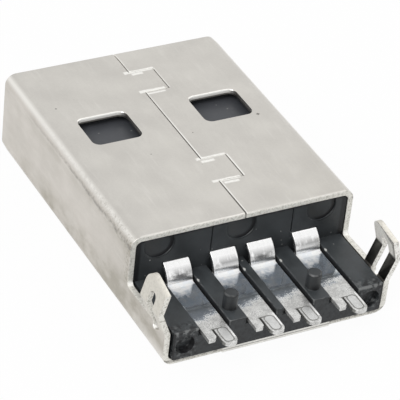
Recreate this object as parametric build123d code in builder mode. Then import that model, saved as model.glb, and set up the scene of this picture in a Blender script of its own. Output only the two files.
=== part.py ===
"""Board-mount USB-A plug: folded metal shell, moulded housing and four stamped contacts.

X runs across the plug, +Y points to the mating end and +Z is up, towards the circuit board.
The plug lies on its plain face, with the seam of the shell on top.
The origin is under the middle of the whole plug, on the face that it rests on.
"""
import os

from build123d import *

os.makedirs("parts", exist_ok=True)

# Shell: one strip of sheet metal, folded into a tube
shell_width = 12.1
shell_height = 4.55
shell_length = 18.83
sheet = 0.3
fold_radius = 0.6
nose_length = 0.6
nose_turn_in = 0.04

# Shell: seam along the middle of the top face, locked by two tabs
seam_gap = 0.04
seam_x = 0.05
seam_tab_depth = 1.35
seam_tab_length = 1.92
seam_tab_setbacks = [1.86, 10.02]

# Shell: latching windows, two in the top face and two below them
window_width = 2.7
window_length = 2.35
window_radius = 0.4
window_x = 3.1
window_shift = 0.06
window_setback = 6.1

# Shell: open rear end, with low side walls and two kinked board-lock ears
tray_length = 4.05
side_wall_drop = 0.07
wall_corner_radius = 0.25
ear_width = 1.9
ear_reach = 2.3
ear_rise = 0.35
ear_knee_reach = 1.22
ear_knee_offset = 0.47
ear_tip_offset = 0.08
ear_knee_radius = 0.25
ear_rear_radius = 0.25
ear_front_radius = 0.5
ear_slot_width = 0.6
ear_slot_depth = 0.28
ear_slot_margin = 0.35
carrier_stub_width = 5.8
carrier_stub_reach = 0.08

# Contacts: four stamped strips, bent down from the tongue to the board side of the tray
inner_pitch = 2.0
outer_pitch = 2.5
contact_thickness = 0.2
contact_width = 1.35
contact_mating_width = 1.0
contact_inner_height = 2.6
contact_tail_height = 1.5
contact_bend_radius = 1.15
contact_foot_radius = 0.18
contact_bend_start = 0.3
contact_bend_run = 0.25
contact_shoulder = 1.6
outer_contact_setback = 1.5
inner_contact_setback = 2.5
tail_reach = 1.42
tail_prong_reach = 0.88
tail_slit_width = 0.1
tail_slit_offset = 0.15
tail_slit_start = 0.2
tail_end_radius = 0.36
tail_prong_chamfer = 0.15

# Housing: one moulding with the tongue, a solid base and the open tray
housing_gap = 0.03
contact_gap = 0.05
contact_stand_off = 0.05
channel_gap = 0.1
housing_overhang = 0.15
tray_side_gap = 0.12
tongue_setback = 0.1
tongue_edge_chamfer = 0.3
mouth_depth = 12.0
rear_wall_recess = 0.05
rib_lip = 0.2
rib_edge_radius = 0.06
rib_corner_radius = 0.15
window_pocket_depth = 0.3
window_pocket_margin = 0.35
peg_radius = 0.36
peg_length = 0.92
peg_setback = 0.82
peg_chamfer = 0.07
corner_recess_radius = 0.5
corner_recess_depth = 0.35

# Housing: marks of the mould's ejectors and inserts on the rear wall
mark_pitch = 4.4
mark_shift = -0.1
mark_radius = 0.81
mark_drop = 0.36
mark_depth = 0.08
slit_offset = 2.83
slit_width = 0.06
slit_rise = 0.15

# Cuts run past the faces that they open by this much
overrun = 1.0

# Two places this close count as the same when edges are picked
same_place = 0.001

# Stations along the plug
overall_length = shell_length + tail_reach
front_y = overall_length / 2
rear_y = front_y - shell_length
nose_y = front_y - nose_length
top_edge_y = rear_y + tray_length
rear_wall_y = top_edge_y + rear_wall_recess
mouth_floor_y = front_y - mouth_depth
window_y = front_y - window_setback

# Middles of the two windows of a face
window_places = [(window_shift - window_x, window_y), (window_shift + window_x, window_y)]

# Heights that follow the contacts' tails: the ribs lie just proud of them
rib_height = contact_tail_height + contact_thickness + rib_lip
side_wall_height = rib_height - side_wall_drop

# Places across the plug: the contacts, and the pegs on the wide ribs between them
inner_contact_x = inner_pitch / 2
outer_contact_x = inner_contact_x + outer_pitch
contact_places = [-outer_contact_x, -inner_contact_x, inner_contact_x, outer_contact_x]
peg_x = inner_contact_x + outer_pitch / 2


def across(y):
    """Plane across the plug at y, seen from the rear: local x is X and local y is Z."""
    return Plane.XZ.offset(-y)


def tube_section(inset):
    """Rounded section of the tube, drawn inwards from the shell's outer face by inset."""
    radius = max(fold_radius - inset, sheet / 2)
    with Locations((0, shell_height / 2)):
        RectangleRounded(shell_width - 2 * inset, shell_height - 2 * inset, radius)


# Ears: sheet that leans out to the knee and back in to the tip, cut to a rounded tab
outer_x = shell_width / 2
inner_x = outer_x - sheet
ear_knee_height = side_wall_height + ear_knee_reach
ear_height = side_wall_height + ear_reach
with BuildPart() as ears:
    with BuildSketch(across(rear_y)) as ear_sections:
        for side in (-1, 1):
            with BuildLine():
                Polyline(
                    (side * outer_x, fold_radius),
                    (side * outer_x, side_wall_height),
                    (side * (outer_x + ear_knee_offset), ear_knee_height),
                    (side * (outer_x + ear_tip_offset), ear_height + ear_rise),
                    (side * (inner_x + ear_tip_offset), ear_height + ear_rise),
                    (side * (inner_x + ear_knee_offset), ear_knee_height),
                    (side * inner_x, side_wall_height),
                    (side * inner_x, fold_radius),
                    close=True,
                )
            make_face()
        fillet(ear_sections.vertices().group_by(Axis.Y)[2], ear_knee_radius)
    extrude(amount=-ear_width)
    with BuildSketch(Plane.YZ) as ear_outline:
        with BuildLine():
            Polyline(
                (rear_y, fold_radius),
                (rear_y, ear_height),
                (rear_y + ear_width, ear_height + ear_rise),
                (rear_y + ear_width, fold_radius),
                close=True,
            )
        make_face()
        rear_corner, front_corner = ear_outline.vertices().sort_by(Axis.Y)[-2:]
        fillet(front_corner, ear_front_radius)
        fillet(rear_corner, ear_rear_radius)
    extrude(amount=shell_width, both=True, mode=Mode.INTERSECT)

with BuildPart() as shell:
    # Straight tube
    with BuildSketch(across(rear_y)):
        tube_section(0)
    extrude(amount=rear_y - nose_y)
    with BuildSketch(across(rear_y)):
        tube_section(sheet)
    extrude(amount=rear_y - nose_y, mode=Mode.SUBTRACT)

    # Front end turned in as a lead
    with BuildSketch(across(nose_y)):
        tube_section(0)
    with BuildSketch(across(front_y)):
        tube_section(nose_turn_in)
    loft()
    with BuildSketch(across(nose_y)):
        tube_section(sheet)
    with BuildSketch(across(front_y)):
        tube_section(sheet + nose_turn_in)
    loft(mode=Mode.SUBTRACT)

    # Rear of the top face cut away over the tray, down to the low side walls
    with BuildSketch(Plane.YZ) as rear_opening:
        with BuildLine():
            Polyline(
                (rear_y - overrun, side_wall_height),
                (top_edge_y, side_wall_height),
                (top_edge_y, shell_height + overrun),
                (rear_y - overrun, shell_height + overrun),
                close=True,
            )
        make_face()
        fillet(rear_opening.vertices().group_by(Axis.X)[-1].sort_by(Axis.Y)[0], wall_corner_radius)
    extrude(amount=shell_width, both=True, mode=Mode.SUBTRACT)
    add(ears.part)

    # Slots that make the ears springy
    slot_bottom = side_wall_height - ear_slot_depth
    slot_length = ear_height - ear_slot_margin - slot_bottom
    with BuildSketch(Plane.YZ):
        with Locations((rear_y + ear_width / 2, slot_bottom + slot_length / 2)):
            SlotOverall(slot_length, ear_slot_width, rotation=90)
    extrude(amount=shell_width, both=True, mode=Mode.SUBTRACT)

    # Latching windows through the top and bottom faces
    with BuildSketch(Plane.XY):
        with Locations(*window_places):
            RectangleRounded(window_width, window_length, window_radius)
    extrude(amount=shell_height, mode=Mode.SUBTRACT)

    # Seam where the two edges of the sheet meet and interlock
    seam_points = [(seam_x, front_y + overrun)]
    for setback in seam_tab_setbacks:
        tab_front = front_y - setback
        tab_rear = tab_front - seam_tab_length
        seam_points.append((seam_x, tab_front))
        seam_points.append((seam_x + seam_tab_depth, tab_front))
        seam_points.append((seam_x + seam_tab_depth, tab_rear))
        seam_points.append((seam_x, tab_rear))
    seam_points.append((seam_x, top_edge_y - overrun))
    with BuildSketch(Plane.XY.offset(shell_height - sheet)):
        with BuildLine():
            Polyline(*seam_points)
        trace(line_width=seam_gap)
    extrude(amount=sheet, both=True, mode=Mode.SUBTRACT)

    # Stub left on the rear edge where the strip's carrier was cut off
    with BuildSketch(Plane.XY):
        with Locations((0, rear_y)):
            Rectangle(carrier_stub_width, carrier_stub_reach, align=(Align.CENTER, Align.MAX))
    extrude(amount=sheet)
shell.part.label = "shell"

# Contact lines: the middle of the strip inside the plug, and in the tray
inner_line_height = contact_inner_height + contact_thickness / 2
tail_line_height = contact_tail_height + contact_thickness / 2
bend_top_y = rear_wall_y - contact_bend_start
bend_foot_y = bend_top_y - contact_bend_run
shoulder_y = rear_wall_y + contact_shoulder
tail_y = rear_y - tail_reach
prong_y = rear_y - tail_prong_reach


def contact_tip_y(place):
    """Front end of a contact: the outer pair reaches further, so that it mates first."""
    if abs(place) == outer_contact_x:
        return front_y - outer_contact_setback
    return front_y - inner_contact_setback


def contact_strip(place):
    """One contact: a bent strip, narrowed for mating and split into two feet at its tail."""
    tip_y = contact_tip_y(place)
    slit_x = place - tail_slit_offset
    tail_start = (place, tail_y, tail_line_height)
    with BuildPart() as strip:
        with BuildLine():
            FilletPolyline(
                tail_start,
                (place, bend_foot_y, tail_line_height),
                (place, bend_top_y, inner_line_height),
                (place, tip_y, inner_line_height),
                radius=(contact_foot_radius, contact_bend_radius),
            )
        with BuildSketch(Plane(tail_start, x_dir=(1, 0, 0), z_dir=(0, 1, 0))):
            Rectangle(contact_width, contact_thickness)
        sweep()
        with BuildSketch(Plane.XY) as outline:
            low_centre = (Align.CENTER, Align.MIN)
            low_right = (Align.MAX, Align.MIN)
            with Locations((place, tail_y)):
                Rectangle(contact_width, shoulder_y - tail_y, align=low_centre)
            with Locations((place, shoulder_y)):
                Rectangle(contact_mating_width, tip_y - shoulder_y, align=low_centre)
            with Locations((slit_x, tail_y)):
                Rectangle(tail_slit_width, tail_reach - tail_slit_start, align=low_centre, mode=Mode.SUBTRACT)
                Rectangle(contact_width, prong_y - tail_y, align=low_right, mode=Mode.SUBTRACT)
            fillet(outline.vertices().group_by(Axis.Y)[0], tail_end_radius)
            prong_end = outline.vertices().filter_by(lambda v: abs(v.Y - prong_y) < same_place)
            chamfer(prong_end.sort_by(Axis.X)[1], tail_prong_chamfer)
        extrude(amount=shell_height, mode=Mode.INTERSECT)
        tip_edges = strip.faces().sort_by(Axis.Y)[-1].edges().filter_by(Axis.X)
        chamfer(tip_edges.sort_by(Axis.Z)[0], contact_thickness / 2)
    return strip.part


# Housing sizes that follow the shell and the contacts
housing_inset = sheet + housing_gap
housing_top = shell_height - housing_inset
housing_rear_y = rear_y - housing_overhang
tongue_front_y = nose_y - tongue_setback
tongue_face_height = contact_inner_height + contact_stand_off
channel_width = contact_width + 2 * channel_gap
tunnel_width = contact_width + 2 * contact_gap
groove_width = contact_mating_width + 2 * contact_gap
side_block_x = (outer_contact_x + channel_width / 2 + outer_x - housing_inset) / 2
side_block_z = (rib_height + housing_inset) / 2

with BuildPart() as housing:
    # Base that fills the tube behind the mouth
    with BuildSketch(across(housing_rear_y)):
        tube_section(housing_inset)
    extrude(amount=housing_rear_y - mouth_floor_y)

    # Tongue under the top face, with a lead on its mating edge
    with BuildSketch(across(mouth_floor_y)):
        tube_section(housing_inset)
        with Locations((0, tongue_face_height)):
            Rectangle(shell_width, shell_height, align=(Align.CENTER, Align.MAX), mode=Mode.SUBTRACT)
    extrude(amount=mouth_floor_y - tongue_front_y)
    tongue_end_edges = housing.faces().sort_by(Axis.Y)[-1].edges().filter_by(Axis.X)
    chamfer(tongue_end_edges.sort_by(Axis.Z)[0], tongue_edge_chamfer)

    # Open tray behind the rear wall
    with BuildSketch(Plane.XY.offset(rib_height)):
        with Locations((0, rear_wall_y)):
            Rectangle(shell_width, tray_length + overrun, align=(Align.CENTER, Align.MAX))
    extrude(amount=shell_height, mode=Mode.SUBTRACT)

    # Channels for the tails, which leave the ribs and side blocks standing
    with BuildSketch(Plane.XY.offset(contact_tail_height)):
        for place in contact_places:
            with Locations((place, rear_wall_y)):
                Rectangle(channel_width, tray_length + overrun, align=(Align.CENTER, Align.MAX))
    extrude(amount=shell_height, mode=Mode.SUBTRACT)

    # Sides of the tray stand off the shell, and the ends of its ribs are rounded
    tray_half = outer_x - sheet - tray_side_gap
    with BuildSketch(across(housing_rear_y)):
        with Locations((tray_half, 0)):
            Rectangle(sheet + tray_side_gap, shell_height, align=(Align.MIN, Align.MIN))
        with Locations((-tray_half, 0)):
            Rectangle(sheet + tray_side_gap, shell_height, align=(Align.MAX, Align.MIN))
    extrude(amount=housing_rear_y - rear_wall_y, mode=Mode.SUBTRACT)
    rear_face = housing.faces().filter_by(Axis.Y).sort_by(Axis.Y)[0]
    rib_corners = rear_face.edges().filter_by(Axis.Z).filter_by(lambda e: e.center().Z > contact_tail_height)
    fillet(rib_corners, rib_corner_radius)
    rear_face = housing.faces().filter_by(Axis.Y).sort_by(Axis.Y)[0]
    fillet(rear_face.edges().filter_by(Axis.X).group_by(Axis.Z)[-1], rib_edge_radius)

    # Tunnels through the base, with mouths that follow the contacts' bends
    tunnel_end_y = shoulder_y + contact_gap
    for place in contact_places:
        tunnel_start = (place, bend_foot_y, tail_line_height)
        tunnel_turn = (place, bend_top_y, inner_line_height)
        tunnel_end = (place, tunnel_end_y, inner_line_height)
        with BuildLine():
            FilletPolyline(tunnel_start, tunnel_turn, tunnel_end, radius=contact_bend_radius)
        with BuildSketch(Plane(tunnel_end, x_dir=(1, 0, 0), z_dir=(0, 1, 0))):
            Rectangle(tunnel_width, contact_thickness + 2 * contact_gap)
        sweep(mode=Mode.SUBTRACT)

    # Grooves along the tongue for the contacts' mating ends
    with BuildSketch(Plane.XY.offset(contact_inner_height - contact_gap)):
        for place in contact_places:
            groove_length = contact_tip_y(place) + contact_gap - shoulder_y
            with Locations((place, shoulder_y)):
                Rectangle(groove_width, groove_length, align=(Align.CENTER, Align.MIN))
    extrude(amount=contact_thickness + 2 * contact_gap, mode=Mode.SUBTRACT)

    # Pockets under the top windows that leave room for the mating springs
    pocket_width = window_width + 2 * window_pocket_margin
    pocket_length = window_length + 2 * window_pocket_margin
    with BuildSketch(Plane.XY.offset(housing_top)):
        with Locations(*window_places):
            Rectangle(pocket_width, pocket_length)
    extrude(amount=-window_pocket_depth, mode=Mode.SUBTRACT)

    # Locating pegs on the two wide ribs
    peg_top = rib_height + peg_length
    with BuildSketch(Plane.XY.offset(rib_height)):
        with Locations((-peg_x, rear_y + peg_setback), (peg_x, rear_y + peg_setback)):
            Circle(peg_radius)
    extrude(amount=peg_length)
    circles = housing.edges().filter_by(GeomType.CIRCLE)
    chamfer(circles.filter_by(lambda e: abs(e.center().Z - peg_top) < same_place), peg_chamfer)

    # Round recesses in the rear ends of the side blocks
    with BuildSketch(across(housing_rear_y)):
        with Locations((-side_block_x, side_block_z), (side_block_x, side_block_z)):
            Circle(corner_recess_radius)
    extrude(amount=-corner_recess_depth, mode=Mode.SUBTRACT)

    # Shallow round marks and fine slits that the mould leaves on the rear wall
    slit_bottom = contact_inner_height + slit_rise
    with BuildSketch(across(rear_wall_y)):
        for step in (-1, 0, 1):
            with Locations((mark_shift + step * mark_pitch, housing_top - mark_drop)):
                Circle(mark_radius)
        for step in (-1, 0):
            with Locations((mark_shift + slit_offset + step * mark_pitch, slit_bottom)):
                Rectangle(slit_width, housing_top - slit_bottom, align=(Align.CENTER, Align.MIN))
        with Locations((0, housing_top)):
            Rectangle(shell_width, shell_height, align=(Align.CENTER, Align.MIN), mode=Mode.SUBTRACT)
    extrude(amount=-mark_depth, mode=Mode.SUBTRACT)
housing.part.label = "housing"

export_step(shell.part, "parts/shell.step")
export_step(housing.part, "parts/housing.step")
for number, place in enumerate(contact_places, start=1):
    contact = contact_strip(place)
    contact.label = f"contact_{number}"
    export_step(contact, f"parts/contact_{number}.step")
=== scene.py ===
"""Board-mount plug: a folded nickel-plated shell, a black moulding and four tinned contacts."""
import math

import bmesh
import bpy
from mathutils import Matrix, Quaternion, Vector


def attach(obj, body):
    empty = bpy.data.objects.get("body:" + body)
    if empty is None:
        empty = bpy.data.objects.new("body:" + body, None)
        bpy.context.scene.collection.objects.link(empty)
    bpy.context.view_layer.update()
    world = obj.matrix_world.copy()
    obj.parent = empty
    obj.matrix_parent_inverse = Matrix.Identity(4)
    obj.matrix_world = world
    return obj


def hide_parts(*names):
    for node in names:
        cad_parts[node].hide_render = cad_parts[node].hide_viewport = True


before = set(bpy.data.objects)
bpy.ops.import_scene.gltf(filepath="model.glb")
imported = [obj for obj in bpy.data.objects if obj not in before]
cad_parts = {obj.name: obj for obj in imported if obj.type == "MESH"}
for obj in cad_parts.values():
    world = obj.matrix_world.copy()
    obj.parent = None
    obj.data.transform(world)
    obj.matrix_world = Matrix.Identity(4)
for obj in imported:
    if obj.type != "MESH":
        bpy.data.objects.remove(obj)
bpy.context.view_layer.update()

# Camera: a long lens that looks down on the open rear end from its left side,
# rolled a little, so that the plug runs down the picture to the right.
MM = 0.001
camera_place = Vector((-52.361, -87.877, 75.223)) * MM
camera_target = Vector((0.053, -0.236, 2.30)) * MM
camera_roll = Quaternion((0, 0, 1), math.radians(6.596))
camera = bpy.data.objects.new("camera", bpy.data.cameras.new("camera"))
camera.data.sensor_width = 36
camera.data.lens = 228.77
camera.data.clip_start = 0.005
camera.data.clip_end = 10
camera.location = camera_place
camera.rotation_mode = "QUATERNION"
camera.rotation_quaternion = (camera_target - camera_place).to_track_quat("-Z", "Y") @ camera_roll
bpy.context.scene.collection.objects.link(camera)
bpy.context.scene.camera = camera
bpy.context.scene.view_settings.view_transform = "Standard"


# Studio: a sheet of white paper under the plug, a white surround and large soft lamps.
# Sight lines and reflections see the paper and the surround as white.
class Wire:
    """One output in a material. Operators on wires add Math nodes, and add() makes any other node."""

    def __init__(self, tree, socket=None):
        self.tree = tree
        self.socket = socket

    def add(self, kind, settings, values, out=0):
        node = self.tree.nodes.new(kind)
        for name, value in settings.items():
            setattr(node, name, value)
        for name, value in values.items():
            if isinstance(value, Wire):
                self.tree.links.new(value.socket, node.inputs[name])
            else:
                node.inputs[name].default_value = value
        return Wire(self.tree, node.outputs[out]) if node.outputs else None

    def math(self, operation, first, second=0.0):
        return self.add("ShaderNodeMath", {"operation": operation}, {0: first, 1: second})

    def limited(self):
        return self.add("ShaderNodeMath", {"operation": "ADD", "use_clamp": True}, {0: self, 1: 0.0})

    def tint(self, low, high):
        """A colour between two others: low where this wire is 0, high where it is 1."""
        return self.add("ShaderNodeMix", {"data_type": "RGBA"}, {0: self, 6: low, 7: high}, 2)

    def feed(self, shader, name):
        self.tree.links.new(self.socket, shader.inputs[name])

    def __add__(self, other):
        return self.math("ADD", self, other)

    def __radd__(self, other):
        return self.math("ADD", other, self)

    def __sub__(self, other):
        return self.math("SUBTRACT", self, other)

    def __rsub__(self, other):
        return self.math("SUBTRACT", other, self)

    def __mul__(self, other):
        return self.math("MULTIPLY", self, other)

    def __rmul__(self, other):
        return self.math("MULTIPLY", other, self)

    def __truediv__(self, other):
        return self.math("DIVIDE", self, other)

    def __rtruediv__(self, other):
        return self.math("DIVIDE", other, self)

    def __abs__(self):
        return self.math("ABSOLUTE", self)


surround_white = (1.0, 1.0, 1.0, 1.0)
surround_light = 0.62
surround_mirrored = 0.98
world = bpy.data.worlds.new("surround")
bpy.context.scene.world = world
world.use_nodes = True
world.node_tree.nodes.clear()
sky = Wire(world.node_tree)
sky_seen = sky.add("ShaderNodeLightPath", {}, {}, "Is Camera Ray")
sky_mirrored = sky.add("ShaderNodeLightPath", {}, {}, "Is Glossy Ray")
lighting = sky.add("ShaderNodeBackground", {}, {"Color": surround_white, "Strength": surround_light})
reflection = sky.add("ShaderNodeBackground", {}, {"Color": surround_white, "Strength": surround_mirrored})
backdrop = sky.add("ShaderNodeBackground", {}, {"Color": surround_white, "Strength": 1.0})
surround = sky.add("ShaderNodeMixShader", {}, {0: sky_mirrored, 1: lighting, 2: reflection})
surround = sky.add("ShaderNodeMixShader", {}, {0: sky_seen, 1: surround, 2: backdrop})
sky.add("ShaderNodeOutputWorld", {}, {"Surface": surround})

paper_colour = (0.86, 0.86, 0.86, 1.0)
paper_whiteness = 0.95
paper_reach = 2.0
paper_drop = 0.02 * MM
paper_mesh = bpy.data.meshes.new("floor")
sheet_of_paper = bmesh.new()
bmesh.ops.create_grid(sheet_of_paper, x_segments=1, y_segments=1, size=paper_reach)
bmesh.ops.translate(sheet_of_paper, verts=sheet_of_paper.verts, vec=(0, 0, -paper_drop))
sheet_of_paper.to_mesh(paper_mesh)
sheet_of_paper.free()
floor = bpy.data.objects.new("floor", paper_mesh)
bpy.context.scene.collection.objects.link(floor)
paper = bpy.data.materials.new("floor_paper")
paper.use_nodes = True
paper.node_tree.nodes.clear()
fibre = Wire(paper.node_tree)
paper_seen = fibre.add("ShaderNodeLightPath", {}, {}, "Is Camera Ray")
paper_mirrored = fibre.add("ShaderNodeLightPath", {}, {}, "Is Glossy Ray")
lit_paper = fibre.add("ShaderNodeBsdfDiffuse", {}, {"Color": paper_colour})
white_paper = fibre.add("ShaderNodeEmission", {}, {"Color": surround_white, "Strength": 1.0})
paper_share = (paper_seen + paper_mirrored) * paper_whiteness
paper_surface = fibre.add("ShaderNodeMixShader", {}, {0: paper_share, 1: lit_paper, 2: white_paper})
fibre.add("ShaderNodeOutputMaterial", {}, {"Surface": paper_surface})
paper_mesh.materials.append(paper)

for lamp_name, lamp_place, lamp_size, lamp_power in (
    ("lamp_left", (-0.300, -0.160, 0.380), 0.34, 1.3),
    ("lamp_right", (0.340, 0.100, 0.360), 0.34, 0.35),
):
    lamp_data = bpy.data.lights.new(lamp_name, "AREA")
    lamp_data.shape = "SQUARE"
    lamp_data.size = lamp_size
    lamp_data.energy = lamp_power
    lamp = bpy.data.objects.new(lamp_name, lamp_data)
    lamp.location = lamp_place
    lamp.rotation_mode = "QUATERNION"
    lamp.rotation_quaternion = (-Vector(lamp_place)).to_track_quat("-Z", "Y")
    bpy.context.scene.collection.objects.link(lamp)


# Shell: one strip of sheet steel, punched with its windows and ears, folded into a tube
# and nickel plated. Two tabs lock the seam on top, and tumbling has softened its edges.
def new_finish(name):
    """A new material with its shader, and a wire to build its nodes on."""
    finish = bpy.data.materials.new(name)
    finish.use_nodes = True
    return finish, finish.node_tree.nodes["Principled BSDF"], Wire(finish.node_tree)


def softened(node, edge_width, wide_edges=None, wide_width=0.0):
    """A copy of a node whose sharp edges are rounded, with some of them wider."""
    merge_reach = 0.0005 * MM
    flat_angle = math.radians(0.5)
    sharp_angle = math.radians(38)
    piece_mesh = bpy.data.meshes.new(node + "_piece")
    body = bmesh.new()
    body.from_mesh(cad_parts[node].data)
    bmesh.ops.remove_doubles(body, verts=body.verts, dist=merge_reach)
    bmesh.ops.dissolve_limit(
        body, angle_limit=flat_angle, use_dissolve_boundaries=False,
        verts=body.verts, edges=body.edges, delimit={"NORMAL"})
    for edges_match, width in ((wide_edges, wide_width), (None, edge_width)):
        if width == 0.0:
            continue
        sharp = [edge for edge in body.edges if edge.is_manifold]
        sharp = [edge for edge in sharp if edge.calc_face_angle(0) > sharp_angle]
        if edges_match:
            sharp = [edge for edge in sharp if edges_match(edge)]
        bmesh.ops.bevel(
            body, geom=sharp, offset=width, offset_type="OFFSET", segments=3, profile=0.5,
            affect="EDGES", clamp_overlap=edges_match is None, material=-1)
    for face in body.faces:
        face.smooth = True
    body.to_mesh(piece_mesh)
    body.free()
    piece = bpy.data.objects.new(node + "_piece", piece_mesh)
    bpy.context.scene.collection.objects.link(piece)
    weighted = piece.modifiers.new("even_shading", "WEIGHTED_NORMAL")
    weighted.keep_sharp = True
    weighted.weight = 100
    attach(piece, "root")
    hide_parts(node)
    return piece


def axes_in_mm(wire):
    """Object coordinates along the plug's three axes, in millimetres."""
    place = wire.add("ShaderNodeTexCoord", {}, {}, "Object")
    place = wire.add("ShaderNodeVectorMath", {"operation": "SCALE"}, {0: place, "Scale": 1 / MM})
    return place, [wire.add("ShaderNodeSeparateXYZ", {}, {0: place}, axis) for axis in ("X", "Y", "Z")]


def facing(wire):
    """The three parts of the surface's own direction."""
    normal = wire.add("ShaderNodeNewGeometry", {}, {}, "Normal")
    return [wire.add("ShaderNodeSeparateXYZ", {}, {0: normal}, axis) for axis in ("X", "Y", "Z")]


def straightness(wire, nx, ny, nz):
    """1 on faces square to an axis, and less on folds and edges."""
    return wire.math("MAXIMUM", wire.math("MAXIMUM", abs(nx), abs(ny)), abs(nz))


def cloud(wire, place, scale, detail, stretch=(1, 1, 1), shift=(0, 0, 0)):
    """Uneven patches, scale of them in a millimetre, drawn out along an axis by stretch."""
    place = wire.add("ShaderNodeMapping", {}, {"Vector": place, "Location": shift, "Scale": stretch})
    noise = {"Vector": place, "Scale": scale, "Detail": detail, "Roughness": 0.55}
    return wire.add("ShaderNodeTexNoise", {}, noise)


def between(value, low, high, soft):
    """1 where a value lies between two limits, with a soft step at both."""
    middle = (low + high) / 2
    return (((high - low) / 2 + soft / 2 - abs(value - middle)) / soft).limited()


def above(value, start, end):
    """0 below start and 1 above end."""
    return ((value - start) / (end - start)).limited()


def distance(wire, *offsets):
    """How far a point lies from a place, from its offsets along the axes."""
    return wire.math("SQRT", sum(offset * offset for offset in offsets))


def bumped(wire, shader, relief, strength, depth):
    """Gives a shader a fine relief, with its depth in millimetres."""
    bump = wire.add("ShaderNodeBump", {}, {"Strength": strength, "Distance": depth * MM, "Height": relief})
    bump.feed(shader, "Normal")


# Places on the shell in millimetres. A pit has x, y and reach, a punch stroke, whose brightness is a painted
# highlight, has its limits in x and in y, and a painted highlight spot has x, y, z, core and reach.
shell_top = 4.55
rear_rim = -4.66
top_from = 4.45
side_inner = 5.70
side_wall_top = (1.70, 1.95)
lower_fold_top = 0.6
upper_fold = (3.80, 4.45)
fold_line_low = 4.03
fold_line_high = 4.13
rim_dirt = (-4.9, -4.2)
ear_front = 6.60
ear_foot = 1.86
ear_knee = 3.0
ear_rear = 8.7
ear_rear_top = 4.2
ear_top_slope = 0.184
window_reach = (2.5, 5.6)
window_outer = 4.9
window_middle = 3.1
window_half = 1.25
window_roll_foot = 4.33
seam_middle = 0.05
tab_reach = 1.35
nose_tab = (6.345, 8.265)
rear_tab = (-1.815, 0.105)
lip_top = 0.30
lip_from = 8.4
stub_half = 2.90
pits_on_top = ((4.60, 2.69, 0.12), (-4.88, 6.44, 0.08))
punch_stroke_highlights = (
    (-0.25, 1.44, 8.14, 8.35), (0.10, 0.72, 7.93, 8.10), (-0.24, 1.20, 6.30, 6.52),
    (0.10, 1.10, 6.10, 6.22), (-0.22, 1.39, 0.03, 0.22), (-0.05, 0.66, -0.22, -0.05),
    (-0.30, 1.20, -1.90, -1.72), (0.22, 1.02, -2.14, -1.98))
highlight_spots = ((5.90, -4.72, 1.97, 0.11, 0.18), (6.05, -7.62, 1.60, 0.09, 0.15))

nickel_plain = (0.620, 0.600, 0.560, 1)
nickel_shade = (0.560, 0.540, 0.505, 1)
# The sides are painted lighter than the top: painted light.
side_plain_painted_lighter = (0.670, 0.635, 0.590, 1)
side_shade_painted_lighter = (0.590, 0.560, 0.515, 1)
# The bright and light nickels also paint highlights, the grime and dark nickels also paint shade, and the
# leg nickel a dark reflection.
nickel_bright_and_highlight = (0.86, 0.84, 0.80, 1)
nickel_highlight_and_stub = (0.95, 0.94, 0.90, 1)
nickel_dirt_and_shade = (0.36, 0.335, 0.280, 1)
nickel_cut = (0.80, 0.785, 0.73, 1)
nickel_torn = (0.36, 0.345, 0.300, 1)
nickel_ear = (0.64, 0.615, 0.555, 1)
nickel_dark_and_shade = (0.11, 0.10, 0.085, 1)
nickel_leg_dark_reflection = (0.060, 0.058, 0.052, 1)

nickel, nickel_shader, nickel_wire = new_finish("satin_nickel")
place, (x, y, z) = axes_in_mm(nickel_wire)
nx, ny, nz = facing(nickel_wire)
rearward = 0 - y
outward = abs(x)
at_side = above(outward, side_inner, side_inner + 0.05)
on_ears = at_side * above(z, ear_foot, ear_foot + 0.06) * above(rearward, ear_front, ear_front + 0.15)

# Worn folds and edges, with a painted highlight where the surface turns between the flat faces, and
# scuffed in places. The ears are left out.
straight = straightness(nickel_wire, nx, ny, nz)
worn_fold_highlight = above(1 - straight, 0.08, 0.24) * (1 - on_ears)
patches = cloud(nickel_wire, place, 1.6, 3.0)
grain = cloud(nickel_wire, place, 9.0, 3.0)
scuffed = worn_fold_highlight * above(rearward, -8.0, 3.0) * above(patches * 0.4 + grain * 0.6, 0.42, 0.60)
patchy_fold_highlight = worn_fold_highlight * (1 - scuffed * 0.7)

# Broad cloudiness, and faint scratches and rubs along the tube
broad = cloud(nickel_wire, place, 0.45, 5.0)
scratch = above(cloud(nickel_wire, place, 7.0, 2.0, (1.0, 0.05, 1.0)), 0.64, 0.78)
rubs = above(cloud(nickel_wire, place, 3.0, 4.0, (1.0, 0.25, 1.0), (7, 3, 1)), 0.52, 0.75)

# Sides: mottled darkening along the middle towards the rear and along the lower fold, painted shade over
# the side below the upper fold, strongest in a band just under it, and a thin dark line under that fold.
# Specks run along that fold, dirt gathers at the rear rim, painted shade darkens the right of the top,
# painted light lightens the low rear of the sides, and a few small pits are dark.
speckle = above(cloud(nickel_wire, place, 9.0, 5.0, shift=(9, 2, 6)), 0.48, 0.62)
on_side = above(abs(nx), 0.65, 0.95) * (1 - on_ears)
stain = above(cloud(nickel_wire, place, 1.1, 5.0, (1, 0.6, 1), (2, 9, 4)), 0.38, 0.64)
rear_band = above(rearward, -2.0, 6.0) * between(z, 0.9, 1.8, 1.1) * 1.1
low_band = above(rearward, -10.0, -3.0) * (1 - above(rearward, 4.0, 8.0))
low_band = low_band * (1 - above(z, lower_fold_top, 2.0)) * 1.1
fold_shade = between(z, 3.6, 4.1, 0.5) * 0.35 + above(3.95 - z, 0.0, 0.1) * 0.22
side_darkening_and_shade = (rear_band + low_band + fold_shade) * (0.30 + stain * 0.70)
side_darkening_and_shade = side_darkening_and_shade.limited() * above(abs(nx), 0.3, 0.8)
fold_width = above(rearward, -4.0, 4.0) * 0.10
fold_line = between(z + (patches - 0.5) * 0.30, fold_line_low - fold_width, fold_line_high, 0.12)
fold_line = fold_line * above(rearward, -10.0, -1.0) * (1 - on_ears) * above(outward, 5.9, 6.0)
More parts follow.
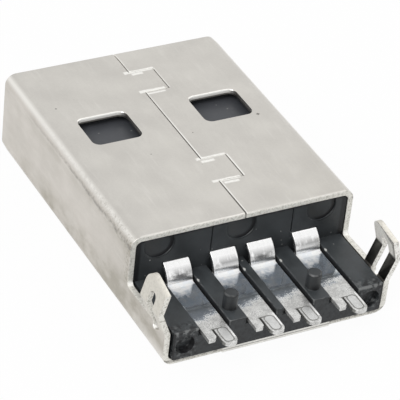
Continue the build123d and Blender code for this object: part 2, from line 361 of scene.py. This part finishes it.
fold_line = fold_line * (0.30 + above(patches * 0.5 + grain * 0.5, 0.42, 0.55) * 0.70)
fold_specks = above(rearward, -2.0, 3.0) * between(z, *upper_fold, 0.15) * above(outward, 5.6, 5.7) * speckle
rear_dirt = between(y, *rim_dirt, 0.7) * above(outward, 5.7, 5.9) * above(z, 1.7, 2.1)
rear_dirt = rear_dirt * (0.3 + speckle * 0.7)
# Painted shade on the right of the top, towards the rear.
top_right_shade = above(x, 1.0, 6.0) * above(rearward, -1.0, 5.0) * above(nz, 0.9, 0.95)
# Painted light on the low rear of each side.
low_side_painted_light = on_side * (1 - above(z, 0.5, 1.1)) * above(rearward, 4.0, 7.0)
pits = above(cloud(nickel_wire, place, 5.0, 0.0, shift=(11, 5, 2)), 0.90, 0.92)
for pit_x, pit_y, pit_reach in pits_on_top:
    pit_near = pit_reach - (abs(x - pit_x) + abs(y - pit_y))
    pits = pits + above(pit_near, 0.0, 0.04) * above(z, top_from - 0.05, top_from + 0.05)
pits = pits.limited()

# Seam: painted shade in the gap along its left edge, a painted highlight along its right edge, and the punch
# that set the tabs left strokes across their ends, painted bright as highlights
on_top = above(z, top_from, top_from + 0.05)
wander = (cloud(nickel_wire, place, 1.6, 2.0, shift=(5, 5, 5)) - 0.5) * 0.10
in_tabs = (between(y, *nose_tab, 0.04) + between(y, *rear_tab, 0.04)).limited()
seam_side = x - seam_middle - in_tabs * tab_reach + wander * 0.2
seam_open = above(rearward, -5.5, -1.0)
seam_highlight = between(seam_side, 0.025, 0.090, 0.04) * on_top * (0.45 + seam_open * 0.55)
seam_gap_shade = between(seam_side, -0.055, 0.010, 0.03) * (0.25 + seam_open * 0.55)
seam_gap_shade_rear = between(seam_side, -0.030, 0.045, 0.02) * above(rearward, 1.5, 4.6)
seam_shade = (seam_gap_shade + seam_gap_shade_rear).limited() * on_top
strokes = 0.0
for low_x, high_x, low_y, high_y in punch_stroke_highlights:
    strokes = strokes + between(y + wander, low_y, high_y, 0.08) * between(x, low_x, high_x, 0.08)
strokes = strokes.limited() * on_top

# Cut faces of the sheet, matt and speckled where the punch tore it. The windows' front edges are rolled,
# with a painted highlight on the roll and painted shade on the wall below it.
wall_tops = above(nz, 0.7, 0.9) * at_side * between(z, *side_wall_top, 0.05) * above(rearward, 4.5, 4.6)
cut = (above(abs(ny), 0.75, 0.90) + wall_tops).limited()
in_window = between(y, *window_reach, 0.05) * (1 - above(outward, window_outer, window_outer + 0.1))
window_roll = above(z, window_roll_foot, window_roll_foot + 0.04)
window_rim_highlight = in_window * window_roll * above(0 - ny, 0.20, 0.50)
window_rim_highlight = window_rim_highlight * above(window_half - abs(outward - window_middle), 0.0, 0.2)
window_wall_shade = in_window * (1 - window_roll) * above(z, 4.20, 4.24)

# Ears: they have lost their shine, but low on the inside they stay metallic with a painted dark reflection.
# The right one has painted light on its tip and rim, with a dark line along the top and rear edges, and
# painted highlights mark the corners of the cuts.
inside_ear = above(0 - nx * x / 6, 0.2, 0.5)
ear_dark_reflection = on_ears * inside_ear * (1 - above(z, ear_knee, ear_knee + 0.15))
ear_matt = on_ears * (1 - ear_dark_reflection)
right_ear = on_ears * above(x, 0.0, 1.0)
ear_tip_light = right_ear * inside_ear * above(z, ear_knee + 0.05, ear_knee + 0.15)
under_top = z - ear_rear_top - (y + ear_rear) * ear_top_slope
ear_line = above(under_top + above(rearward, 7.7, 8.3) * 0.22, -0.16, -0.09) + above(rearward, 8.48, 8.56)
ear_line = ear_line.limited() * ear_tip_light * (0.6 + speckle * 0.4)
corner_highlights = 0.0
for spot_x, spot_y, spot_z, spot_core, spot_reach in highlight_spots:
    spot_off = distance(nickel_wire, outward - spot_x, y - spot_y, z - spot_z)
    corner_highlights = corner_highlights + 1 - above(spot_off, spot_core, spot_reach)
corner_highlights = corner_highlights.limited()

# Rear lip of the floor: dull and mottled, but for the bright stub that held the strip
lip = cut * (1 - above(z, lip_top - 0.01, lip_top + 0.01)) * above(rearward, lip_from, lip_from + 0.1)
on_stub = 1 - above(outward, stub_half - 0.02, stub_half + 0.02)
lip_dark = lip * (1 - on_stub) * above(z, 0.08, 0.12) * (0.5 + speckle * 0.5)
lip_dark = lip_dark + lip * on_stub * between(z, 0.12, 0.17, 0.02)

# The marks laid over the plating one after another: dirt and painted shade, painted light low on the sides,
# scratches, worn folds with their painted highlight, ears with painted dark reflection and light, cut faces,
# painted highlights, dark marks and painted shade
mixed = above(broad * 0.7 + grain * 0.3, 0.38, 0.62)
face_colour = mixed.tint(nickel_shade, nickel_plain)
side_colour_painted_lighter = mixed.tint(side_shade_painted_lighter, side_plain_painted_lighter)
colour = on_side.tint(face_colour, side_colour_painted_lighter)
dirt_and_shade = side_darkening_and_shade * 0.80 + scuffed * 0.35 + fold_specks * 0.5 + top_right_shade * 0.22 + rear_dirt * 0.8
colour = dirt_and_shade.limited().tint(colour, nickel_dirt_and_shade)
colour = (low_side_painted_light * 0.5).tint(colour, nickel_bright_and_highlight)
colour = (scratch * 0.18 + rubs * 0.10).limited().tint(colour, nickel_bright_and_highlight)
colour = (patchy_fold_highlight * 0.85).tint(colour, nickel_bright_and_highlight)
colour = ear_matt.tint(colour, nickel_ear)
colour = (ear_dark_reflection * 0.97).tint(colour, nickel_leg_dark_reflection)
colour = (cut * (1 - in_window)).tint(colour, nickel_cut)
colour = ((ear_tip_light + right_ear * cut).limited() * 0.7).tint(colour, nickel_highlight_and_stub)
torn = (cut * 0.50 + ear_matt * 0.25).limited() * speckle * (1 - in_window)
colour = torn.tint(colour, nickel_torn)
lit = window_rim_highlight + strokes * (0.45 + grain * 0.7) + seam_highlight * 0.85 + corner_highlights + lip * on_stub * 0.7
colour = lit.limited().tint(colour, nickel_highlight_and_stub)
dark = pits * 0.85 + seam_shade * 0.8 + window_wall_shade * 0.7 + fold_line * 0.55 + ear_line * 0.9 + lip_dark * 0.6
colour = dark.limited().tint(colour, nickel_dark_and_shade)
colour.feed(nickel_shader, "Base Color")
roughness = 0.34 + (broad - 0.5) * 0.12 + (grain - 0.5) * 0.14 + side_darkening_and_shade * 0.12 + cut * 0.15
roughness.limited().feed(nickel_shader, "Roughness")
matt = side_darkening_and_shade * 0.35 + cut * 0.65 + ear_matt * 0.45 + pits * 0.7 + seam_shade * 0.6 + strokes * 0.4
matt = (matt + fold_line * 0.3 + ear_tip_light * 0.5 + window_rim_highlight * 0.6).limited()
(1 - matt * (1 - ear_dark_reflection) * 0.92).limited().feed(nickel_shader, "Metallic")
relief = grain * 0.30 + cloud(nickel_wire, place, 2.2, 2.0) * 0.60 - scratch * 0.08 - pits * 0.5
relief = relief + speckle * ear_matt * 0.5
bumped(nickel_wire, nickel_shader, relief, strength=0.45, depth=0.012)


def on_worn_rim(edge):
    """True for the front rims of the latching windows and the outer rim of the rear opening."""
    middle = sum((vert.co for vert in edge.verts), Vector()) / 2 / MM
    on_face = abs(middle.z - shell_top) < 0.01 or abs(middle.z) < 0.01
    on_window = 5.0 < middle.y < 5.3 and 1.0 < abs(middle.x) < 5.0
    on_rear = abs(middle.y - rear_rim) < 0.06 and abs(middle.x) > 0.2
    return on_face and (on_window or on_rear)


shell_edge = 0.035 * MM
worn_edge = 0.09 * MM
shell = softened("shell", shell_edge, on_worn_rim, worn_edge)
shell.data.materials.append(nickel)


# Housing: one black moulding with the tongue, the base that fills the tube and the open
# tray with its ribs and pegs. It is pressed into the shell from behind.
wall_behind_bends = (-4.9, -4.2)
wall_half = 5.40
wall_top = 4.08
tray_from = 4.5
rib_top = 1.80
peg_heights = (1.96, 2.72)
pegs_from = 6.0
window_floor = (2.0, 6.2)
mark_pitch = 4.4
mark_shift = 0.1
mark_height = 3.83
mark_rim = (0.61, 0.83)
mark_glint = (0.80, 0.85)
rib_highlight_places = (-2.70, -0.20, 1.80, 4.30)
rib_highlight_front = -5.52
peg_top_from = 2.66
flank_x = 0.86
flank_y = -0.51
block_inner = 4.3
block_rear = 8.1
housing_edge = 0.03 * MM

# The bloom black also paints light on faces that look up, the mark black light on the left of the marks'
# floors, the rubbed and nick blacks also highlights, and the deep black shade and chips.
black_plain = (0.025, 0.028, 0.030, 1)
black_bloom_and_lit_top = (0.052, 0.059, 0.064, 1)
black_window = (0.066, 0.069, 0.078, 1)
black_mark_lit_left = (0.048, 0.044, 0.040, 1)
black_sheen = (0.085, 0.089, 0.090, 1)
black_rubbed_and_highlight = (0.17, 0.175, 0.175, 1)
black_speck_and_highlight = (0.50, 0.50, 0.48, 1)
black_shade_and_chips = (0.004, 0.004, 0.005, 1)

black, black_shader, black_wire = new_finish("black_moulding")
place, (x, y, z) = axes_in_mm(black_wire)
nx, ny, nz = facing(black_wire)
rearward = 0 - y
outward = abs(x)
faces_rear = above(0 - ny, 0.4, 0.6)
upward = above(nz, 0.5, 0.9)
on_wall = above(0 - ny, 0.2, 0.4) * between(y, *wall_behind_bends, 0.05)
behind_bends = above(rearward, pegs_from, pegs_from + 0.2)
on_pegs = between(z, *peg_heights, 0.03) * behind_bends

# Rubbed edges, a pale bloom with painted light on faces that look up, light specks, greyer faces under the
# windows, and painted deep shade low between the ribs
straight = straightness(black_wire, nx, ny, nz)
rubbed = above(1 - straight, 0.08, 0.22) * above(cloud(black_wire, place, 4.0, 3.0), 0.38, 0.60)
rubbed = rubbed * (1 - on_wall * 0.85) * (1 - on_pegs)
bloom = above(cloud(black_wire, place, 1.1, 4.0, (1, 0.8, 1)), 0.40, 0.72)
grain = cloud(black_wire, place, 11.0, 3.0)
specks = above(cloud(black_wire, place, 6.0, 0.0, shift=(3, 8, 5)), 0.865, 0.88)
under_windows = upward * between(y, *window_floor, 0.3)
low = above(rib_top + 0.07 - z, 0.0, 0.05) * above(rearward, tray_from, tray_from + 0.1)
low = low * (1 - above(abs(ny), 0.3, 0.6)) * above(5.2 - outward, 0, 0.1)

# The wall behind the bends: painted shade in the gap round its rim, and three ejector marks whose edges
# carry painted shade on the right and a painted highlight on the left, with painted light on the left of
# their floors
wall_rim_shade = above(outward, wall_half, wall_half + 0.1) + above(z, wall_top, wall_top + 0.08)
wall_rim_shade = on_wall * wall_rim_shade.limited()
mark_number = black_wire.math("ROUND", (x + mark_shift) / mark_pitch)
mark_x = x + mark_shift - mark_number * mark_pitch
mark_z = z - mark_height
mark_off = distance(black_wire, mark_x, mark_z)
mark_shade = between(mark_off, *mark_rim, 0.08) * above(mark_x * 0.8 - mark_z * 0.6, 0.05, 0.40) * on_wall
mark_highlight = between(mark_off, *mark_glint, 0.04) * above(0 - mark_x * 0.7 - mark_z * 0.7, 0.10, 0.40)
mark_highlight = mark_highlight * on_wall
mark_floor_light = (1 - above(mark_off, 0.60, 0.78)) * above(0 - mark_x, -0.5, 0.5) * on_wall

# Painted highlights where the ribs start. The rear ends of the outer blocks are chipped, with a jagged
# painted highlight along the top edge and painted shade in the gap to the shell, and the other rear faces
# are mottled.
rib_start_highlights = 0.0
for highlight_x in rib_highlight_places:
    highlight_near = 0.15 - (abs(x - highlight_x) * 1.9 + abs(y - rib_highlight_front))
    rib_start_highlights = rib_start_highlights + above(highlight_near, 0.0, 0.05) * above(z, rib_top, rib_top + 0.04)
chips = cloud(black_wire, place, 4.6, 5.0, shift=(1, 6, 3))
at_rear = above(rearward, block_rear, block_rear + 0.3)
block_end = above(outward, block_inner, block_inner + 0.1) * at_rear
block_back = faces_rear * block_end
other_backs = faces_rear * at_rear * (1 - block_end)
chip_dark = block_end * above(0.49 - chips, 0.0, 0.06) + other_backs * above(0.56 - chips, 0.0, 0.16) * 0.7
chip_dark = (chip_dark + block_back * above(0.50 - chips, 0.0, 0.06) * above(z, 1.3, 1.5)).limited()
chip_light = block_end * above(chips, 0.56, 0.62)
top_edge_highlight = block_end * above(rearward, 8.73, 8.77) * above(z + (chips - 0.5) * 0.3, rib_top, rib_top + 0.04)
side_gap_shade = block_back * above(outward, 5.50, 5.56)

# Pegs: painted shade towards the foot and on top, with a faint painted sheen down their right flank
peg_shade = on_pegs * above(2.75 - z, 0.0, 0.8) * (1 - upward)
peg_flank_sheen = on_pegs * above(nx * flank_x + ny * flank_y, 0.30, 0.80)
peg_top_shade = above(z, peg_top_from, peg_top_from + 0.04) * behind_bends * (1 - above(outward, 3.0, 3.1))

# Faces that look up are painted lighter: painted light.
colour = (bloom * (0.35 + upward * 0.35) + upward * 0.30).limited().tint(black_plain, black_bloom_and_lit_top)
colour = (under_windows * 0.8).tint(colour, black_window)
colour = (mark_floor_light * 0.3).tint(colour, black_mark_lit_left)
pale_wear_and_highlight = rubbed * (0.5 + above(rearward, 7.4, 8.2) * 0.3) + chip_light * 0.45 + mark_highlight * 0.08
colour = pale_wear_and_highlight.limited().tint(colour, black_rubbed_and_highlight)
colour = (specks * 0.5 + rib_start_highlights).limited().tint(colour, black_speck_and_highlight)
colour = (top_edge_highlight * 0.8).tint(colour, black_rubbed_and_highlight)
colour = (peg_flank_sheen * 0.8).tint(colour, black_sheen)
deep_shade_and_chips = low * 0.8 + chip_dark * 0.8 + mark_shade * 0.95 + wall_rim_shade * 0.9 + side_gap_shade * 0.9
deep_shade_and_chips = deep_shade_and_chips + peg_shade * 0.8 + peg_top_shade * 0.4
colour = deep_shade_and_chips.limited().tint(colour, black_shade_and_chips)
colour.feed(black_shader, "Base Color")
roughness = 0.40 + (grain - 0.5) * 0.20 + bloom * 0.12 - rubbed * 0.10 + low * 0.3
roughness.limited().feed(black_shader, "Roughness")
black_shader.inputs["Specular IOR Level"].default_value = 0.38
relief = grain * 0.4 + cloud(black_wire, place, 2.5, 3.0) * 0.6 + chips * block_end * 1.5
bumped(black_wire, black_shader, relief, strength=0.35, depth=0.015)

housing = softened("housing", housing_edge)
housing.data.materials.append(black)


# Contacts: four strips stamped from thin bronze, tin plated, and bent down from the tongue
# to the board side of the tray. Each tail is split into a short prong and a rounded foot.
strip_places = (-3.5, -1.0, 1.0, 3.5)
tail_starts = (7.95, 7.65, 7.80, 7.60)
tips = (8.625, 7.625, 7.625, 8.625)
strip_half = 0.675
mating_half = 0.5
strip_thickness = 0.2
strip_edge = 0.02
tail_top = 1.70
tail_end = -10.125
prong_end = -9.585
slit_end = -8.905
slit_near = 0.10
slit_far = 0.20
prong_chamfer = 0.15
foot_round = 0.36
bend_angle = math.radians(77)
foot_radius = 0.08
foot_steps = 8
foot_start = -5.304
rise_length = 0.071
bend_radius = 1.25
bend_steps = 32
shoulder = -3.005
bend_foot = -5.40
flat_top = 1.74
dark_reflection_from = 6.98
smudge_heights = (2.02, 2.32)
oval_across = 0.27
oval_along = -9.42
oval_half_width = 0.04
oval_half_length = 0.32
oval_round = 0.21
slit_stroke_x = (-0.24, 0.10)
slit_stroke_y = (-8.94, -8.86)
edge_highlight_x = (0.57, 0.675)
edge_highlight_y = (-9.70, -8.75)
slit_wall_x = (-0.16, -0.02)

# The blue tin is a painted reflection tint for the flats, the dull tin a painted dark reflection, the edge
# tin a painted highlight, the plain tin also the painted highlight below the bend, and the groove tin also
# painted shade on the slit's wall.
tin_plain_and_highlight = (0.95, 0.95, 0.945, 1)
tin_blue_reflection = (0.66, 0.75, 0.86, 1)
tin_streak = (0.70, 0.70, 0.69, 1)
tin_dark_reflection = (0.115, 0.129, 0.147, 1)
tin_smudge = (0.20, 0.20, 0.20, 1)
tin_tail = (0.45, 0.45, 0.44, 1)
tin_tail_light = (0.72, 0.72, 0.705, 1)
tin_coined = (0.66, 0.665, 0.66, 1)
tin_edge_highlight = (0.95, 0.95, 0.94, 1)
tin_groove_and_shade = (0.10, 0.10, 0.09, 1)


def tinned_finish(number, middle, tail_start):
    """Tin that is bright on the bends, mottled blue-grey on the flats as a painted reflection tint, and
    coined on the foot, with painted highlights and a painted dark reflection, marked a little differently
    per strip.
    """
    finish, shader, wire = new_finish(f"tinned_bronze_{number}")
    place, (x, y, z) = axes_in_mm(wire)
    nx = facing(wire)[0]
    rearward = 0 - y
    across = x - middle
    mottle = cloud(wire, place, 3.2, 5.0, shift=(number, 0, 0))
    patches = above(cloud(wire, place, 1.4, 4.0, (1, 0.8, 1), (4, number, 7)), 0.40, 0.66)
    fine = cloud(wire, place, 16.0, 3.0)
    streaks = cloud(wire, place, 7.0, 3.0, (1, 0.12, 0.12), (0, number, 0))
    on_bend = above(z, flat_top, flat_top + 0.06)
    uneven = (mottle - 0.5) * 0.8 + (fine - 0.5) * 1.2
    on_tail = above(rearward + uneven + across * 0.3, tail_start - 0.15, tail_start + 0.20) * (1 - on_bend)

    # A painted highlight in a band at the foot of the bend and a patch to its left, a painted dark
    # reflection on a stretch before the tail, small sparks on the flat, and a smudge low on the bend
    patch_edge = 0.60 + (y - bend_foot) * 0.67
    bend_patch_highlight = above(patch_edge - across, -0.05, 0.07) * above(y + (mottle - 0.5) * 0.9, -6.35, -5.70)
    bend_foot_highlight = (above(y, bend_foot - 0.14, bend_foot) + bend_patch_highlight * 0.85).limited() * (1 - on_bend)
    on_flat = (1 - on_tail) * (1 - on_bend)
    dark_reflection = above(rearward + (mottle - 0.5) * 0.12, dark_reflection_from, dark_reflection_from + 0.30) * on_flat
    sparks = above(fine * 0.7 + mottle * 0.3, 0.60, 0.66) * on_flat
    smudge = between(z, *smudge_heights, 0.28) * above(streaks * 0.6 + patches * 0.4, 0.28, 0.50) * on_bend
    before_tail = between(y, -8.2, -7.3, 0.6) * (1 - on_bend)

    # The coined oval of the foot: a groove round it, a stroke to the slit, a painted highlight along the
    # right edge and painted shade on the slit's wall
    off_x = wire.math("MAXIMUM", abs(across - oval_across) - oval_half_width, 0.0)
    off_y = wire.math("MAXIMUM", abs(y - oval_along) - oval_half_length, 0.0)
    oval = distance(wire, off_x, off_y) - oval_round + (mottle - 0.5) * 0.08
    groove = between(oval, -0.030, 0.030, 0.03) * above(mottle, 0.30, 0.40)
    slit_stroke = between(across, *slit_stroke_x, 0.05) * between(y, *slit_stroke_y, 0.03)
    groove = (groove + slit_stroke).limited() * on_tail
    coined = above(0 - oval, 0.0, 0.05) * on_tail
    edge_highlight = between(across, *edge_highlight_x, 0.03) * between(y, *edge_highlight_y, 0.05) * on_tail
    slit_wall_shade = above(0 - nx, 0.5, 0.8) * between(across, *slit_wall_x, 0.04) * above(rearward, 8.8, 8.9)

    # The flats are painted blue-grey, a painted reflection tint; the bends and the painted highlight below
    # them are white.
    plainness_and_highlight = above(mottle, 0.40, 0.62) * 0.5 + bend_foot_highlight * 0.7 + on_bend
    colour = plainness_and_highlight.limited().tint(tin_blue_reflection, tin_plain_and_highlight)
    colour = (above(streaks, 0.45, 0.65) * on_bend * 0.14).tint(colour, tin_streak)
    colour = (dark_reflection * 0.95).tint(colour, tin_dark_reflection)
    colour = (sparks * 0.45).tint(colour, tin_tail)
    colour = (smudge * 0.70).tint(colour, tin_smudge)
    tail_colour = above(fine * 0.5 + mottle * 0.5, 0.42, 0.58).tint(tin_tail, tin_tail_light)
    colour = on_tail.tint(colour, tail_colour)
    colour = (coined * 0.6).tint(colour, tin_coined)
    colour = edge_highlight.tint(colour, tin_edge_highlight)
    colour = (groove * 0.85 + slit_wall_shade * 0.8).limited().tint(colour, tin_groove_and_shade)
    colour.feed(shader, "Base Color")
    roughness = 0.05 + patches * 0.03 + (fine - 0.5) * 0.04 + on_bend * 0.12 + on_tail * 0.22
    roughness = roughness + bend_foot_highlight * 0.20 + before_tail * 0.08
    roughness.limited().feed(shader, "Roughness")
    metallic = 0.865 - bend_foot_highlight * 0.745 - patches * 0.06 - groove * 0.4 - on_tail * 0.2 + on_bend * 0.08
    metallic.limited().feed(shader, "Metallic")
    relief = mottle * 0.14 + fine * 0.08 + streaks * on_bend * 0.5 - groove * 0.8
    bumped(wire, shader, relief, strength=0.35, depth=0.012)
    return finish


def edges_of(geometry):
    """The edges in what an operator gives back."""
    return [item for item in geometry if isinstance(item, bmesh.types.BMEdge)]


def verts_of(geometry):
    """The vertices in what an operator gives back."""
    return [item for item in geometry if isinstance(item, bmesh.types.BMVert)]


def far_end(strip, edges):
    """Draws a strip on from its end edges, and gives back the new end's vertices and edges."""
    drawn = bmesh.ops.extrude_edge_only(strip, edges=edges)["geom"]
    verts = verts_of(drawn)
    return verts, [edge for edge in edges_of(drawn) if all(vert in verts for vert in edge.verts)]


def contact_piece(node, middle, tip, finish):
    """One contact: the flat split tail, bent up and over by two spins, and run on to its tip."""
    strip = bmesh.new()
    outline = (
        (-strip_half, foot_start), (-strip_half, prong_end), (-slit_far, prong_end), (-slit_far, slit_end),
        (-slit_near, slit_end), (-slit_near, tail_end), (strip_half, tail_end), (strip_half, foot_start))
    corners = [strip.verts.new((middle + across, along, tail_top)) for across, along in outline]
    strip.faces.new(corners)
    bmesh.ops.bevel(
        strip, geom=[corners[2]], offset=prong_chamfer, offset_type="OFFSET", segments=1, profile=0.5,
        affect="VERTICES", material=-1)
    rounded = [vert for vert in strip.verts if abs(vert.co.y - tail_end) < 0.001]
    bmesh.ops.bevel(
        strip, geom=rounded, offset=foot_round, offset_type="OFFSET", segments=8, profile=0.5,
        affect="VERTICES", material=-1)
    end = [edge for edge in strip.edges if all(abs(vert.co.y - foot_start) < 0.001 for vert in edge.verts)]

    foot_centre = Vector((middle, foot_start, tail_top + foot_radius))
    turned = bmesh.ops.spin(
        strip, geom=end, cent=foot_centre, axis=(1, 0, 0), angle=bend_angle, steps=foot_steps,
        use_duplicate=False)
    end_verts, end = far_end(strip, edges_of(turned["geom_last"]))
    rise = Vector((0, math.cos(bend_angle), math.sin(bend_angle)))
    bmesh.ops.translate(strip, verts=end_verts, vec=rise * rise_length)
    across_rise = Vector((0, math.sin(bend_angle), -math.cos(bend_angle)))
    bend_centre = end_verts[0].co + across_rise * bend_radius
    turned = bmesh.ops.spin(
        strip, geom=end, cent=bend_centre, axis=(1, 0, 0), angle=-bend_angle, steps=bend_steps,
        use_duplicate=False)
    end = edges_of(turned["geom_last"])
    for target, half in ((shoulder, strip_half), (shoulder, mating_half), (tip, mating_half)):
        end_verts, end = far_end(strip, end)
        for vert in end_verts:
            vert.co.y = target
            vert.co.x = middle + (half if vert.co.x > middle else -half)
    bmesh.ops.remove_doubles(strip, verts=strip.verts, dist=0.0005)
    bmesh.ops.recalc_face_normals(strip, faces=strip.faces)
    if max(strip.faces, key=lambda face: face.calc_area()).normal.z < 0:
        bmesh.ops.reverse_faces(strip, faces=strip.faces)
    bmesh.ops.scale(strip, verts=strip.verts, vec=(MM, MM, MM))
    for face in strip.faces:
        face.smooth = True
    strip_mesh = bpy.data.meshes.new(node + "_strip")
    strip.to_mesh(strip_mesh)
    strip.free()

    piece = bpy.data.objects.new(node + "_strip", strip_mesh)
    bpy.context.scene.collection.objects.link(piece)
    metal = piece.modifiers.new("thickness", "SOLIDIFY")
    metal.thickness = strip_thickness * MM
    metal.offset = -1
    metal.use_even_offset = True
    edge = piece.modifiers.new("stamped_edge", "BEVEL")
    edge.width = strip_edge * MM
    edge.segments = 3
    edge.limit_method = "ANGLE"
    edge.angle_limit = math.radians(50)
    edge.harden_normals = True
    piece.data.materials.append(finish)
    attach(piece, "root")
    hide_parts(node)


for number, (middle, tail_start, tip) in enumerate(zip(strip_places, tail_starts, tips), start=1):
    contact_piece(f"contact_{number}", middle, tip, tinned_finish(number, middle, tail_start))
